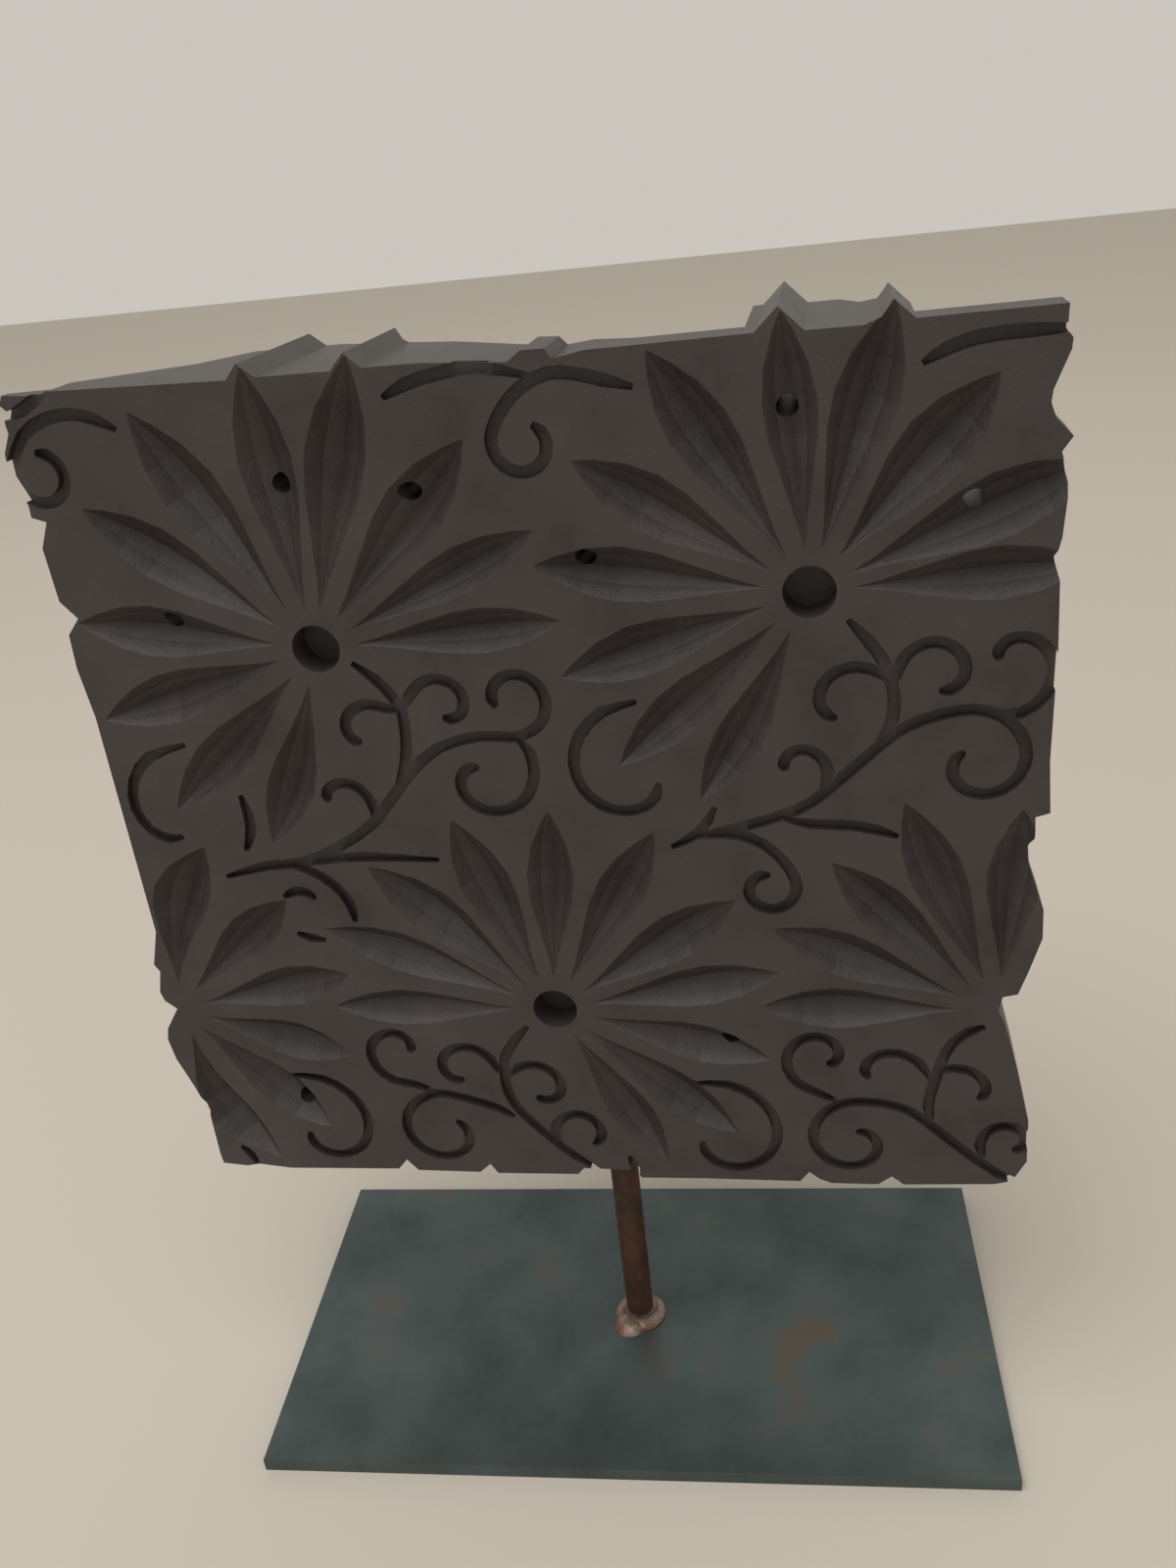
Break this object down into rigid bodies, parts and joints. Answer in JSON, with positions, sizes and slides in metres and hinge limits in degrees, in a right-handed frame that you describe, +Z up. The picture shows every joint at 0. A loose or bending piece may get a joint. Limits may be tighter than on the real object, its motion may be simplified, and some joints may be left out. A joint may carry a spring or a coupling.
{
  "type": "batik stamp",
  "caption": "Carved wooden hand printing block with a back grip, standing on a round post that rises from a flat steel base plate; the block lifts off.",
  "frame": {"origin": "on the post's axis, at the middle of the base plate's underside, where the stand rests", "axes": "+Z up along the post, +X to the right along the plate's long edge, -Y towards the viewer; the carved face looks to -Y, turned 3.3 degrees about the post"},
  "size_m": [0.169, 0.0937, 0.2218],
  "materials": {
    "plate_steel": "satin mill scale with rust at the edges",
    "weld_steel": "satin weld metal in a rusty halo",
    "rusty_iron": "dark brown iron with a thin coat of rust",
    "inked_wood": "dark, worn and dye soaked, satin",
    "bare_wood": "bare wood, worn smooth by hands",
    "nail_iron": "dark forged iron"
  },
  "bodies": {
    "stand": {"base_plate": "plate_steel", "weld_bead": "weld_steel", "post": "rusty_iron"},
    "stamp": {"block": "inked_wood", "handle": "bare_wood", "nail_left": "nail_iron", "nail_right": "nail_iron"}
  },
  "joints": [
    {"name": "block_lift", "type": "slide", "parent": "stand", "child": "stamp", "axis": [0, 0, 1], "range_m": [0, 0.05]}
  ]
}
